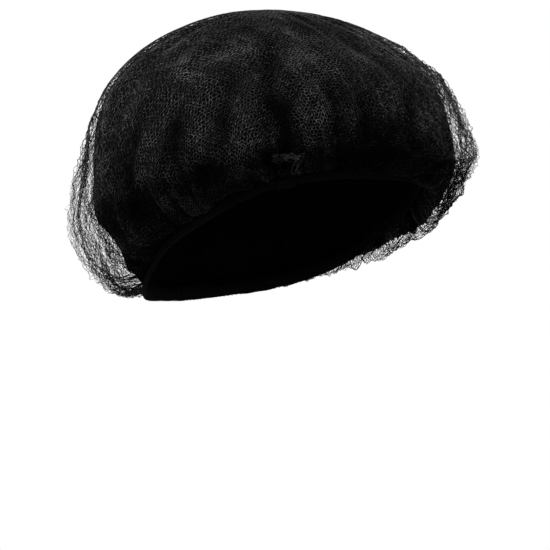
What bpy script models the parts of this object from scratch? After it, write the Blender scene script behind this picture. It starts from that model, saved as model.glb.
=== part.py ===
"""Bouffant hairnet as closed cloth solids.

Metres, +Z up. The wearer faces -Y, so +X is the wearer's left. The origin is
the seat: the inner top of the inner net, where the crown of the head bears.
A turn of 0 degrees is the front and 90 degrees is the wearer's left.
"""
import math

import bpy
import numpy as np

# Sizes of the outer net, in metres
NET_HALF_WIDTH = 0.110
NET_FRONT_REACH = 0.122
NET_BACK_REACH = 0.122
NET_WALL = 0.0010
NET_WIDE_FALL = 0.1195
NET_HANG = 0.030

# Sizes of the inner net
INNER_WALL = 0.0012
INNER_LOOSE = 0.0200
LAYER_GAP = 0.0008

# Sizes of the elastic edge
BAND_HALF_WIDTH = 0.0750
BAND_FRONT_REACH = 0.0950
BAND_BACK_REACH = 0.0700
BAND_FRONT_FALL = 0.0880
BAND_NAPE_FALL = 0.1680
BAND_HEIGHT = 0.0048
BAND_THICK = 0.0012

# Sizes of the overlap of the elastic ends
JOIN_LENGTH = 0.0110
JOIN_HEIGHT = 0.0056
JOIN_THICK = 0.0010
JOIN_TURN = 321.0

# Folds and gathers
FOLD_DEPTH = 0.0120
FOLD_WIDTH = 0.0110
GATHER_DEPTH = 0.0022
EDGE_GAP = 0.0006

# Mesh steps
NET_COLUMNS = 70
BAND_COLUMNS = 70

# Once round the head. Each row is a turn in degrees, then shares: net of the
# reach, wide of the fall to the widest line, rim of the way from the front of
# the elastic down to the nape, hang of the hang, loose of the inner looseness.
ROUND_COLUMNS = ("turn", "net", "wide", "rim", "hang", "loose")
ROUND_TABLE = (
    (0.0, 0.985, 0.56, -0.054, 0.06, 0.40),
    (25.0, 1.000, 0.62, 0.006, 0.30, 0.75),
    (49.0, 1.005, 0.68, 0.100, 0.62, 0.80),
    (75.0, 1.000, 0.78, 0.380, 0.60, 0.85),
    (105.0, 1.000, 0.88, 0.720, 0.38, 1.00),
    (140.0, 0.995, 0.96, 0.940, 0.24, 0.95),
    (180.0, 0.995, 1.00, 1.000, 0.18, 0.95),
    (205.0, 1.005, 1.01, 0.970, 0.15, 1.00),
    (229.0, 1.022, 0.99, 0.900, 0.12, 1.00),
    (250.0, 1.000, 0.88, 0.740, 0.04, 0.60),
    (270.0, 0.980, 0.76, 0.480, 0.00, 0.25),
    (285.0, 0.970, 0.66, 0.300, 0.00, 0.15),
    (311.0, 0.960, 0.55, 0.030, 0.00, 0.10),
    (335.0, 0.965, 0.53, -0.061, 0.00, 0.15),
)

# From the crown to the elastic. Shares: front and back of the reach, in_front
# and in_back of the way from the widest line in to the elastic, drop of the
# fall to the widest line, sag of the way on down to the lowest line, rise of
# the way up from it, loose_front and loose_back of the inner looseness.
SECTION_COLUMNS = (
    "front", "back", "in_front", "in_back", "drop", "sag", "rise", "loose_front", "loose_back"
)
SECTION_TABLE = (
    (0.060, 0.070, 0.00, 0.00, 0.002, 0.00, 0.00, 0.00, 0.00),
    (0.180, 0.230, 0.00, 0.00, 0.020, 0.00, 0.00, 0.00, 0.00),
    (0.310, 0.405, 0.00, 0.00, 0.060, 0.00, 0.00, 0.02, 0.00),
    (0.430, 0.555, 0.00, 0.00, 0.120, 0.00, 0.00, 0.08, 0.00),
    (0.545, 0.680, 0.00, 0.00, 0.200, 0.00, 0.00, 0.18, 0.00),
    (0.660, 0.785, 0.00, 0.00, 0.290, 0.00, 0.00, 0.26, 0.02),
    (0.765, 0.845, 0.00, 0.00, 0.380, 0.00, 0.00, 0.30, 0.03),
    (0.842, 0.882, 0.00, 0.00, 0.480, 0.00, 0.00, 0.33, 0.05),
    (0.892, 0.912, 0.00, 0.00, 0.600, 0.00, 0.00, 0.38, 0.12),
    (0.938, 0.938, 0.00, 0.00, 0.730, 0.00, 0.00, 0.48, 0.28),
    (0.978, 0.965, 0.00, 0.00, 0.860, 0.00, 0.00, 0.55, 0.52),
    (1.000, 1.000, 0.00, 0.00, 1.000, 0.00, 0.00, 0.52, 0.80),
    (1.000, 1.000, 0.07, 0.03, 1.000, 0.20, 0.00, 0.42, 0.92),
    (1.000, 1.000, 0.21, 0.11, 1.000, 0.45, 0.00, 0.30, 0.92),
    (1.000, 1.000, 0.38, 0.23, 1.000, 0.70, 0.00, 0.25, 0.75),
    (1.000, 1.000, 0.56, 0.42, 1.000, 0.90, 0.00, 0.22, 0.52),
    (1.000, 1.000, 0.71, 0.62, 1.000, 1.00, 0.00, 0.16, 0.32),
    (1.000, 1.000, 0.83, 0.80, 1.000, 1.00, 0.45, 0.08, 0.12),
    (1.000, 1.000, 0.93, 0.93, 1.000, 1.00, 1.00, 0.00, 0.00),
    (1.000, 1.000, 1.00, 1.00, 1.000, 1.00, 1.00, 0.00, 0.00),
)

# Large folds. Turns in degrees at the top end and the low end, down as shares
# of the way from the crown (0) to the elastic (1), fade of the same way past
# each end, width and depth as shares of the fold sizes. Below zero is a ridge.
FOLD_COLUMNS = ("turn_from", "down_from", "turn_to", "down_to", "fade", "width", "depth")
FOLD_TABLE = (
    (319.0, 0.32, 325.0, 0.66, 0.10, 0.85, 1.00),
    (338.5, 0.34, 340.5, 0.62, 0.08, 0.85, 0.60),
    (303.0, 0.37, 300.0, 0.68, 0.07, 0.90, 0.45),
    (350.0, 0.48, 348.0, 0.66, 0.05, 0.65, 0.50),
    (357.0, 0.50, 355.0, 0.64, 0.05, 0.60, 0.50),
    (6.0, 0.47, 3.0, 0.62, 0.05, 0.60, 0.50),
    (270.0, 0.57, 282.0, 0.80, 0.06, 0.90, 0.40),
    (252.0, 0.54, 246.0, 0.76, 0.06, 0.90, 0.35),
    (289.0, 0.50, 291.0, 0.72, 0.06, 0.80, 0.25),
    (38.0, 0.58, 35.0, 0.70, 0.06, 1.00, 0.15),
    (60.0, 0.46, 62.0, 0.60, 0.06, 1.00, 0.25),
    (82.0, 0.46, 84.0, 0.64, 0.06, 1.00, 0.30),
    (110.0, 0.45, 106.0, 0.72, 0.07, 1.20, 0.40),
    (152.0, 0.45, 155.0, 0.82, 0.07, 1.20, 0.45),
    (190.0, 0.42, 186.0, 0.82, 0.07, 1.20, 0.45),
    (218.0, 0.50, 216.0, 0.80, 0.07, 1.00, 0.30),
    (234.0, 0.040, 234.0, 0.048, 0.025, 0.60, -0.28),
)


def column(names, row, name):
    """Return the value of a named column of one table row."""
    return row[names.index(name)]


def round_value(turn, name):
    """Return a column of the round table at a turn, on a smooth closed curve."""
    turn = turn % 360.0
    count = len(ROUND_TABLE)
    turns = [column(ROUND_COLUMNS, row, "turn") for row in ROUND_TABLE]
    values = [column(ROUND_COLUMNS, row, name) for row in ROUND_TABLE]
    low = max(i for i in range(count) if turns[i] <= turn)
    high = (low + 1) % count
    span = (turns[high] - turns[low]) % 360.0
    along = ((turn - turns[low]) % 360.0) / span

    def slope(i):
        before = (i - 1) % count
        after = (i + 1) % count
        reach = (turns[after] - turns[before]) % 360.0
        return (values[after] - values[before]) / reach

    t2 = along * along
    t3 = t2 * along
    return (
        (2 * t3 - 3 * t2 + 1) * values[low]
        + (t3 - 2 * t2 + along) * span * slope(low)
        + (3 * t2 - 2 * t3) * values[high]
        + (t3 - t2) * span * slope(high)
    )


def section_value(down, name):
    """Return a column of the section table at a share of the way down."""
    count = len(SECTION_TABLE)
    place = min(max(down, 0.0), 1.0) * (count - 1)
    low = min(int(place), count - 2)
    along = place - low
    first = column(SECTION_COLUMNS, SECTION_TABLE[low], name)
    last = column(SECTION_COLUMNS, SECTION_TABLE[low + 1], name)
    return first + (last - first) * along


def smooth(share):
    """Return a share eased at both ends."""
    share = min(max(share, 0.0), 1.0)
    return share * share * (3.0 - 2.0 * share)


def band_fall(turn):
    """Return how far below the seat the middle of the elastic lies."""
    return BAND_FRONT_FALL + (BAND_NAPE_FALL - BAND_FRONT_FALL) * round_value(turn, "rim")


def band_point(turn):
    """Return the middle of the elastic at a turn."""
    angle = math.radians(turn)
    ahead = BAND_FRONT_REACH if math.cos(angle) > 0.0 else BAND_BACK_REACH
    return (BAND_HALF_WIDTH * math.sin(angle), -ahead * math.cos(angle), -band_fall(turn))


def fold_push(turn, down, reach):
    """Return how far the folds press the cloth in, in metres."""
    push = 0.0
    for row in FOLD_TABLE:
        top = column(FOLD_COLUMNS, row, "down_from")
        low = column(FOLD_COLUMNS, row, "down_to")
        along = min(max((down - top) / (low - top), 0.0), 1.0)
        start = column(FOLD_COLUMNS, row, "turn_from")
        swing = (column(FOLD_COLUMNS, row, "turn_to") - start + 180.0) % 360.0 - 180.0
        off = (turn - start - swing * along + 180.0) % 360.0 - 180.0
        aside = math.radians(off) * reach
        wide = column(FOLD_COLUMNS, row, "width") * FOLD_WIDTH * (0.9 + 0.3 * along)
        past = max(top - down, 0.0, down - low) / column(FOLD_COLUMNS, row, "fade")
        share = math.exp(-((aside / wide) ** 2) - past * past)
        push += column(FOLD_COLUMNS, row, "depth") * FOLD_DEPTH * share
    return push


def gather_push(turn, down):
    """Return the small waves where the cloth is gathered to the elastic."""
    angle = math.radians(turn)
    grow = smooth((down - 0.45) / 0.35) * (1.0 - 0.75 * smooth((down - 0.86) / 0.14))
    wave = 0.55 * math.cos(17.0 * angle + 0.6) + 0.45 * math.cos(11.0 * angle + 2.1)
    return GATHER_DEPTH * grow * wave


def net_point(turn, down):
    """Return the outer face of the net at a turn and a share of the way down."""
    angle = math.radians(turn)
    facing = 0.5 + 0.5 * math.cos(angle)
    ahead = NET_FRONT_REACH if math.cos(angle) > 0.0 else NET_BACK_REACH
    grow = 1.0 + (round_value(turn, "net") - 1.0) * smooth(down * 2.4)
    out_share = section_value(down, "back")
    out_share += (section_value(down, "front") - out_share) * facing
    inward = section_value(down, "in_back")
    inward += (section_value(down, "in_front") - inward) * facing
    rim_x, rim_y, rim_z = band_point(turn)
    wide_x = NET_HALF_WIDTH * grow * math.sin(angle) * out_share
    wide_y = -ahead * grow * math.cos(angle) * out_share
    x = wide_x + (rim_x - wide_x) * inward
    y = wide_y + (rim_y - wide_y) * inward
    top_z = INNER_WALL + LAYER_GAP + NET_WALL
    edge_z = rim_z + 0.5 * BAND_HEIGHT + EDGE_GAP
    wide_z = -NET_WIDE_FALL * round_value(turn, "wide")
    low_z = edge_z - max(NET_HANG * round_value(turn, "hang"), 0.0)
    z = top_z + (wide_z - top_z) * section_value(down, "drop")
    z += (low_z - wide_z) * section_value(down, "sag")
    z += (edge_z - low_z) * section_value(down, "rise")
    reach = math.hypot(x, y)
    push = fold_push(turn, down, reach) + gather_push(turn, down)
    slack = 0.45 * math.dist((x, y, z), (rim_x, rim_y, edge_z)) + 1e-6
    push = slack * math.tanh(push / slack)
    flat = smooth((0.5 - down) / 0.3)
    aside = push * (1.0 - 0.35 * flat) / max(reach, 1e-6)
    return (x - aside * x, y - aside * y, z - push * (0.5 * flat))


def outward(face):
    """Return the outward direction at each point of a crown-to-elastic face."""
    along = np.empty_like(face)
    along[1:-1] = face[2:] - face[:-2]
    along[0] = face[1] - face[0]
    along[-1] = face[-1] - face[-2]
    across = np.roll(face, -1, axis=1) - np.roll(face, 1, axis=1)
    normal = np.cross(along, across)
    normal /= np.linalg.norm(normal, axis=2, keepdims=True)
    if normal[0, :, 2].mean() < 0.0:
        normal = -normal
    normal[-2:] = (0.0, 0.0, -1.0)
    return normal


def net_faces():
    """Return both faces of the outer net, then both faces of the inner net."""
    rows = len(SECTION_TABLE)
    turns = [360.0 * i / NET_COLUMNS for i in range(NET_COLUMNS)]
    downs = [j / (rows - 1) for j in range(rows)]
    outer = np.array([[net_point(turn, down) for turn in turns] for down in downs])
    normal = outward(outer)
    outer_back = outer - NET_WALL * normal
    facing = np.array([0.5 + 0.5 * math.cos(math.radians(turn)) for turn in turns])
    around = np.array([max(round_value(turn, "loose"), 0.0) for turn in turns])
    front = np.array([section_value(down, "loose_front") for down in downs])
    back = np.array([section_value(down, "loose_back") for down in downs])
    loose = back[:, None] + (front - back)[:, None] * facing[None, :]
    offset = NET_WALL + LAYER_GAP + INNER_LOOSE * loose * around[None, :]
    inner = outer - offset[:, :, None] * normal
    inner_back = inner - INNER_WALL * outward(inner)
    return outer, outer_back, inner, inner_back


def build_wall(name, face, back, colour):
    """Build one closed wall between a face and its back as a mesh object."""
    rows, columns = face.shape[:2]
    base = rows * columns
    verts = [tuple(point) for point in face.reshape(-1, 3)]
    verts += [tuple(point) for point in back.reshape(-1, 3)]
    verts.append((0.0, 0.0, float(face[0, :, 2].mean()) + 0.05 * NET_WALL))
    verts.append((0.0, 0.0, float(back[0, :, 2].mean()) + 0.05 * NET_WALL))
    faces = []
    for j in range(rows - 1):
        for i in range(columns):
            k = (i + 1) % columns
            a = j * columns + i
            b = j * columns + k
            c = (j + 1) * columns + k
            d = (j + 1) * columns + i
            faces.append((a, d, c, b))
            faces.append((base + b, base + c, base + d, base + a))
    last = (rows - 1) * columns
    for i in range(columns):
        k = (i + 1) % columns
        faces.append((last + i, base + last + i, base + last + k, last + k))
        faces.append((2 * base, i, k))
        faces.append((2 * base + 1, base + k, base + i))
    return make_object(name, verts, faces, colour)


def make_object(name, verts, faces, colour):
    """Make one mesh object with its own material."""
    mesh = bpy.data.meshes.new(name)
    mesh.from_pydata([tuple(float(c) for c in v) for v in verts], [], faces)
    mesh.validate()
    mesh.update()
    obj = bpy.data.objects.new(name, mesh)
    bpy.context.scene.collection.objects.link(obj)
    material = bpy.data.materials.new(name)
    material.use_nodes = True
    shader = material.node_tree.nodes["Principled BSDF"]
    shader.inputs["Base Color"].default_value = (*colour, 1.0)
    shader.inputs["Roughness"].default_value = 0.85
    mesh.materials.append(material)
    return obj


def ring_frame(turn):
    """Return the middle of the elastic and its outward side at a turn."""
    middle = np.array(band_point(turn))
    ahead = np.array(band_point(turn + 0.5)) - np.array(band_point(turn - 0.5))
    out = np.array((-ahead[1], ahead[0], 0.0))
    out /= np.linalg.norm(out)
    if out[0] * middle[0] + out[1] * middle[1] < 0.0:
        out = -out
    return middle, out


def build_band():
    """Build the closed elastic ring."""
    verts = []
    for i in range(BAND_COLUMNS):
        middle, out = ring_frame(360.0 * i / BAND_COLUMNS)
        up = np.array((0.0, 0.0, 0.5 * BAND_HEIGHT))
        side = 0.5 * BAND_THICK * out
        for point in (middle + side + up, middle + side - up, middle - side - up, middle - side + up):
            verts.append(tuple(point))
    faces = []
    for i in range(BAND_COLUMNS):
        k = (i + 1) % BAND_COLUMNS
        for j in range(4):
            m = (j + 1) % 4
            faces.append((4 * i + j, 4 * i + m, 4 * k + m, 4 * k + j))
    return make_object("elastic_band", verts, faces, (0.02, 0.02, 0.022))


def build_join():
    """Build the overlap of the elastic ends, outside the ring."""
    steps = 6
    reach = math.hypot(BAND_FRONT_REACH, BAND_HALF_WIDTH) / math.sqrt(2.0)
    half_turn = math.degrees(0.5 * JOIN_LENGTH / reach)
    verts = []
    for i in range(steps + 1):
        share = i / steps
        middle, out = ring_frame(JOIN_TURN - half_turn + 2.0 * half_turn * share)
        up = np.array((0.0, 0.0, 0.5 * JOIN_HEIGHT * (0.8 + 0.2 * math.sin(math.pi * share))))
        middle = middle - np.array((0.0, 0.0, 0.5 * (JOIN_HEIGHT - BAND_HEIGHT) + EDGE_GAP))
        near = middle + (0.5 * BAND_THICK + EDGE_GAP) * out
        far = near + JOIN_THICK * out
        for point in (far + up, far - up, near - up, near + up):
            verts.append(tuple(point))
    faces = []
    for i in range(steps):
        for j in range(4):
            m = (j + 1) % 4
            faces.append((4 * i + j, 4 * i + m, 4 * i + 4 + m, 4 * i + 4 + j))
    faces.append((3, 2, 1, 0))
    last = 4 * steps
    faces.append((last, last + 1, last + 2, last + 3))
    return make_object("band_join", verts, faces, (0.03, 0.03, 0.033))


def main():
    """Clear the scene and build every piece."""
    for obj in list(bpy.data.objects):
        bpy.data.objects.remove(obj)
    outer, outer_back, inner, inner_back = net_faces()
    build_wall("net_outer", outer, outer_back, (0.035, 0.035, 0.038))
    build_wall("net_inner", inner, inner_back, (0.012, 0.012, 0.013))
    build_band()
    build_join()


main()
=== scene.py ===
"""Bouffant hairnet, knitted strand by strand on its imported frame.

Metres, +Z up, and the wearer faces -Y. A turn is a share of the way round,
from the front by the wearer's left. A fall is a share of the way from the
crown down to the elastic. The loose net is a flat round cut of hexagon
knitting, laid on the frame's outer net and pleated towards the elastic.
"""

from __future__ import annotations

import logging
import math
from dataclasses import dataclass
from enum import Enum

import bmesh
import bpy
import numpy as np
from mathutils import Matrix, Vector

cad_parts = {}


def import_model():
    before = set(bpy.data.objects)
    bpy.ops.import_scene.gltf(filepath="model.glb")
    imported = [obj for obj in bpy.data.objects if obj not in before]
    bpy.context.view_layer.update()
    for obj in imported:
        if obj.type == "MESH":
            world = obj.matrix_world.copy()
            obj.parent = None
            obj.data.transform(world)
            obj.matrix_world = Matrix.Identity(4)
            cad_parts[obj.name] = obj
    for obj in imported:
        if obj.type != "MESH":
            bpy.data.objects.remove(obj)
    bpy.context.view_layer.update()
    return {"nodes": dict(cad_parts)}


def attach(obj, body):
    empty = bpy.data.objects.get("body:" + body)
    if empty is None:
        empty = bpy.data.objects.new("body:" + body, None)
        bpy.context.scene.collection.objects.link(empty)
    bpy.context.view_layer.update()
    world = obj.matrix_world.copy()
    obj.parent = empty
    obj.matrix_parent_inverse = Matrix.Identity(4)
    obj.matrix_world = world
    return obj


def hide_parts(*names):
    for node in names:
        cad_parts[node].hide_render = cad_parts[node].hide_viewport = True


LOG = logging.getLogger("hairnet")

MM = 0.001
FULL_TURN = 2.0 * math.pi
UP = np.array((0.0, 0.0, 1.0))
SEED = 11
DRIFT_TERMS = 14


class Slot(Enum):
    """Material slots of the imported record."""

    NET = "net"
    INNER = "inner_net"
    ELASTIC = "elastic"


# Numeric helpers


def eased(share: np.ndarray) -> np.ndarray:
    """Return shares eased at both ends and kept from 0 to 1."""
    kept = np.clip(share, 0.0, 1.0)
    return kept * kept * (3.0 - 2.0 * kept)


def catmull(near: list[np.ndarray], along: np.ndarray) -> np.ndarray:
    """Return points on a Catmull-Rom curve.

    Args:
        near: Points before a span, at its two ends and after it.
        along: Shares of the way along the span.

    Returns:
        The points at those shares.
    """
    before, low, high, after = near
    return 0.5 * (
        2.0 * low
        + (high - before) * along
        + (2.0 * before - 5.0 * low + 4.0 * high - after) * along ** 2
        + (3.0 * low - before - 3.0 * high + after) * along ** 3
    )


def drift(turn: np.ndarray, fall: np.ndarray, waves: int, reach: int, seed: int) -> np.ndarray:
    """Return a smooth random field that closes on itself round the head.

    Args:
        turn: Turns, 0 to 1.
        fall: Falls, 0 to 1.
        waves: Highest number of waves round the head.
        reach: Highest number of half waves from the crown to the elastic.
        seed: Seed of the random draw.

    Returns:
        Values of about -1 to 1.
    """
    draw = np.random.default_rng(seed)
    total = np.zeros(np.broadcast(turn, fall).shape)
    for _ in range(DRIFT_TERMS):
        around = int(draw.integers(max(1, waves // 3), waves + 1))
        down = draw.uniform(0.3, reach)
        phase, lean = draw.uniform(0.0, FULL_TURN, 2)
        total += np.cos(FULL_TURN * around * turn + phase) * np.cos(math.pi * down * fall + lean)
    return total / math.sqrt(0.5 * DRIFT_TERMS)


def blurred(grid: np.ndarray, down: int, across: int) -> np.ndarray:
    """Return a grid of rows round the head, averaged over a window.

    Args:
        grid: Values as rows, places and parts.
        down: Half height of the window, in rows.
        across: Half width of the window, in places.

    Returns:
        The averaged grid.
    """
    size = 2 * down + 1
    padded = np.concatenate((np.repeat(grid[:1], down + 1, axis=0), grid,
                             np.repeat(grid[-1:], down, axis=0)))
    total = np.cumsum(padded, axis=0)
    mean = (total[size:] - total[:-size]) / size
    size = 2 * across + 1
    padded = np.concatenate((mean[:, -across - 1:], mean, mean[:, :across]), axis=1)
    total = np.cumsum(padded, axis=1)
    return (total[:, size:] - total[:, :-size]) / size


def sampled(grid: np.ndarray, turn: np.ndarray, fall: np.ndarray) -> np.ndarray:
    """Read a grid of rows round the head at turns and falls.

    Args:
        grid: Values as rows, places and parts.
        turn: Turns, 0 to 1.
        fall: Falls, 0 to 1.

    Returns:
        The values there.
    """
    rows, columns = grid.shape[:2]
    row = np.clip(fall, 0.0, 1.0) * (rows - 1)
    low = np.minimum(row.astype(int), rows - 2)
    down = (row - low)[..., None]
    place = np.mod(turn, 1.0) * columns
    left = place.astype(int) % columns
    side = (place - np.floor(place))[..., None]
    right = (left + 1) % columns
    upper = grid[low, left] * (1.0 - side) + grid[low, right] * side
    lower = grid[low + 1, left] * (1.0 - side) + grid[low + 1, right] * side
    return upper * (1.0 - down) + lower * down


def chain(first: int, count: int) -> np.ndarray:
    """Return the edges that join a number of points in a row."""
    run = np.arange(first, first + count - 1)
    return np.stack((run, run + 1), axis=1)


def section(sides: int, wide: float, tall: float) -> list[tuple[float, float]]:
    """Return a rounded section.

    Args:
        sides: Places round the section.
        wide: Power of its width: 1 is round, and less is squarer.
        tall: Power of its height.

    Returns:
        How far out and up each place is, from -1 to 1.
    """
    places = []
    for index in range(sides):
        angle = FULL_TURN * index / sides
        out, rise = math.cos(angle), math.sin(angle)
        places.append((math.copysign(abs(out) ** wide, out),
                       math.copysign(abs(rise) ** tall, rise)))
    return places


# Smooth skins read from the frame


def merged_mesh(node: bpy.types.Object) -> bmesh.types.BMesh:
    """Merge a frame node's loose triangles.

    Args:
        node: The frame node.

    Returns:
        A copy of its mesh, with its corners joined.
    """
    mesh = bmesh.new()
    mesh.from_mesh(node.data)
    bmesh.ops.remove_doubles(mesh, verts=mesh.verts, dist=0.02 * MM)
    return mesh


def outer_rings(node: bpy.types.Object) -> np.ndarray:
    """Return the rings of a bag's outer wall, from the crown down.

    Args:
        node: The frame node: a closed wall with a pole on each face.

    Returns:
        Points as an array of rings, places round the head and x, y, z. The
        first place of each ring is at the front.
    """
    mesh = merged_mesh(node)
    pole = max(mesh.verts, key=lambda vert: vert.co.z - 10.0 * math.hypot(vert.co.x, vert.co.y))
    seen = {pole}
    level = [pole]
    rings = []
    while level:
        following = {}
        for vert in level:
            for edge in vert.link_edges:
                other = edge.other_vert(vert)
                if other not in seen:
                    following[other] = None
        seen.update(following)
        level = list(following)
        if len(level) > 1:
            rings.append(level)
    sorted_rings = []
    for ring in rings[: len(rings) // 2]:
        points = np.array([tuple(vert.co) for vert in ring])
        angle = np.mod(np.arctan2(points[:, 0], -points[:, 1]), FULL_TURN)
        angle[angle > FULL_TURN - 0.02] -= FULL_TURN
        sorted_rings.append(points[np.argsort(angle)])
    mesh.free()
    return np.array(sorted_rings)


@dataclass
class Skin:
    """A dense smooth surface from the crown to the elastic.

    Attributes:
        points: Rows of points round the head, from the crown down.
    """

    points: np.ndarray

    @classmethod
    def from_node(cls, node: bpy.types.Object, sink: float, rows: int = 301,
                  columns: int = 1400) -> "Skin":
        """Read a frame node's outer wall and smooth it.

        Args:
            node: The frame node.
            sink: How far its edge is sewn down into the elastic, in metres.
            rows: Rows of the smooth surface.
            columns: Places round each row.

        Returns:
            The smooth surface.
        """
        rings = outer_rings(node)
        count, places = rings.shape[:2]
        pole = rings[0].mean(axis=0)
        pole[2] = rings[0][:, 2].max() + 0.02 * MM
        across = np.roll(rings[0], places // 2, axis=0)
        sewn = rings[-1] - sink * UP
        knots = np.concatenate(([across], [np.repeat(pole[None], places, axis=0)], rings, [sewn],
                                [2.0 * sewn - rings[-1]]))
        place = np.linspace(0.0, count + 0.5, rows)
        place = np.where(place > count, count + 2.0 * (place - count), place)
        low = np.minimum(place.astype(int), count)
        down = catmull([knots[low + step] for step in range(4)], (place - low)[:, None, None])
        place = np.arange(columns) * places / columns
        low = place.astype(int)
        near = [down[:, (low + step) % places] for step in (-1, 0, 1, 2)]
        return cls(catmull(near, (place - low)[None, :, None]))

    @property
    def rows(self) -> int:
        """Number of rows."""
        return self.points.shape[0]

    @property
    def columns(self) -> int:
        """Number of places round."""
        return self.points.shape[1]

    def turns(self) -> np.ndarray:
        """Turns of the columns."""
        return np.arange(self.columns)[None, :] / self.columns

    def falls(self) -> np.ndarray:
        """Falls of the rows."""
        return np.linspace(0.0, 1.0, self.rows)[:, None]

    def lengths(self) -> np.ndarray:
        """Length along each column from the crown, in metres."""
        steps = np.linalg.norm(np.diff(self.points, axis=0), axis=2)
        return np.concatenate((np.zeros((1, self.columns)), np.cumsum(steps, axis=0)))

    def outward(self) -> np.ndarray:
        """Return the outward direction at every point.

        Returns:
            Directions of length 1, as rows, places and x, y, z.
        """
        along = np.gradient(self.points, axis=0)
        across = np.roll(self.points, -1, axis=1) - np.roll(self.points, 1, axis=1)
        normal = np.cross(along, across)
        normal /= np.maximum(np.linalg.norm(normal, axis=2, keepdims=True), 1e-12)
        if normal[self.rows // 4, :, 2].mean() < 0.0:
            normal = -normal
        normal[0] = UP
        return normal

    def moved(self, push: np.ndarray) -> "Skin":
        """Return the surface moved outward by a field of lengths."""
        return Skin(self.points + push[:, :, None] * self.outward())

    def toward(self, other: "Skin", share: np.ndarray) -> "Skin":
        """Return the surface a share of the way to another one."""
        return Skin(self.points + share[:, :, None] * (other.points - self.points))

    def cut_area(self) -> float:
        """Area of the flat cut whose columns keep their lengths, in square metres."""
        return float(math.pi * (self.lengths()[-1] ** 2).mean())

    def softened(self, reach: int = 11) -> "Skin":
        """Return the surface with its level creases rounded off.

        Args:
            reach: Half height of the averaged window, in rows.

        Returns:
            The surface, unchanged at the crown and at the elastic.
        """
        soft = blurred(blurred(self.points, reach, 0), reach, 0)
        keep = eased((self.falls() - 0.80) / 0.15) + 1.0 - eased(self.falls() / 0.06)
        return Skin(soft + (self.points - soft) * keep[:, :, None])

    def hollows(self, near: int = 22, wide: int = 75, depth: float = 2.3 * MM) -> np.ndarray:
        """Shade of every point, from 0 deep in a fold to 1 on a ridge.

        Args:
            near: Half width of the fold that counts, in rows or places.
            wide: Half width of the surface around it.
            depth: Depth of a fold that is fully dark, in metres.

        Returns:
            Shades, an array of rows and places.
        """
        # This shade is painted into the nets' colour: painted shade in the folds, lighter on the
        # ridges.
        sunk = ((blurred(self.points, near, near) - self.points) * self.outward()).sum(axis=2)
        sunk -= blurred(sunk[:, :, None], wide, wide)[:, :, 0]
        sunk *= 0.25 + 1.15 * eased((self.falls() - 0.25) / 0.40)
        level = 0.60
        return np.clip(level - level * sunk / depth, 0.0, 1.0)

    def at(self, turn: np.ndarray, fall: np.ndarray) -> np.ndarray:
        """Return points at turns and falls."""
        return sampled(self.points, turn, fall)


# Node trees


class Tree:
    """Small helper that adds and joins nodes of one tree."""

    def __init__(self, tree: bpy.types.NodeTree) -> None:
        """Keep the tree."""
        self.tree = tree

    @classmethod
    def of_material(cls, name: str,
                    **values: object) -> tuple["Tree", bpy.types.Material, bpy.types.Node]:
        """Start a material.

        Args:
            name: The material's name.
            **values: Its shader's inputs, with _ for a space.

        Returns:
            The material's tree, the material and its shader.
        """
        made = bpy.data.materials.new(name)
        made.use_nodes = True
        shader = made.node_tree.nodes["Principled BSDF"]
        for socket, value in values.items():
            shader.inputs[socket.replace("_", " ")].default_value = value
        return cls(made.node_tree), made, shader

    def add(self, kind: str, values: dict[str, object] | None = None,
            **settings: object) -> bpy.types.Node:
        """Add a node.

        Args:
            kind: The node's type.
            values: Values of its inputs by name, or None.
            **settings: Its properties.

        Returns:
            The node.
        """
        node = self.tree.nodes.new(kind)
        for name, value in settings.items():
            setattr(node, name, value)
        for name, value in (values or {}).items():
            node.inputs[name].default_value = value
        return node

    def join(self, source: bpy.types.NodeSocket, target: bpy.types.NodeSocket) -> None:
        """Join two sockets."""
        self.tree.links.new(source, target)

    def math(self, operation: str, *values: object, clamp: bool = False) -> bpy.types.NodeSocket:
        """Add a Math node.

        Args:
            operation: The operation's name.
            *values: Sockets or numbers.
            clamp: Keep the result from 0 to 1.

        Returns:
            The result's socket.
        """
        node = self.add("ShaderNodeMath", operation=operation, use_clamp=clamp)
        for value, socket in zip(values, node.inputs):
            if isinstance(value, bpy.types.NodeSocket):
                self.join(value, socket)
            else:
                socket.default_value = value
        return node.outputs[0]

    def ramp(self, share: bpy.types.NodeSocket, low: tuple[float, float, float],
             high: tuple[float, float, float], start: float = 0.0,
             end: float = 1.0) -> bpy.types.NodeSocket:
        """Add a colour ramp.

        Args:
            share: The socket that it reads.
            low: Colour up to the start.
            high: Colour from the end on.
            start: Share where the colour starts to change.
            end: Share where it has changed.

        Returns:
            The colour's socket.
        """
        node = self.add("ShaderNodeValToRGB")
        for stop, place, colour in zip(node.color_ramp.elements, (start, end), (low, high)):
            stop.position = place
            stop.color = (*colour, 1.0)
        self.join(share, node.inputs["Fac"])
        return node.outputs["Color"]

    def bump(self, height: bpy.types.NodeSocket, distance: float, strength: float,
             shader: bpy.types.Node) -> None:
        """Roughen a shader's surface.

        Args:
            height: The height's socket.
            distance: The relief's depth, in metres.
            strength: Share of the relief that counts.
            shader: The shader.
        """
        node = self.add("ShaderNodeBump", {"Distance": distance, "Strength": strength})
        self.join(height, node.inputs["Height"])
        self.join(node.outputs["Normal"], shader.inputs["Normal"])

    def shade(self) -> bpy.types.NodeSocket:
        """Read the shade that the mesh keeps."""
        return self.add("ShaderNodeAttribute", attribute_name="shade").outputs["Fac"]

    def dimmed(self, colour: bpy.types.NodeSocket, low: float) -> bpy.types.NodeSocket:
        """Paint shade into a colour: darker in the folds and where the mesh's shade is low.

        Args:
            colour: The colour's socket.
            low: Share of the colour that is left deep in a fold.

        Returns:
            The darkened colour's socket.
        """
        light = self.ramp(self.shade(), (low, low, low), (1.0, 1.0, 1.0), end=0.75)
        mix = self.add("ShaderNodeMix", {"Factor": 1.0}, data_type="RGBA", blend_type="MULTIPLY")
        self.join(colour, mix.inputs[6])
        self.join(light, mix.inputs[7])
        return mix.outputs[2]


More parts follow.
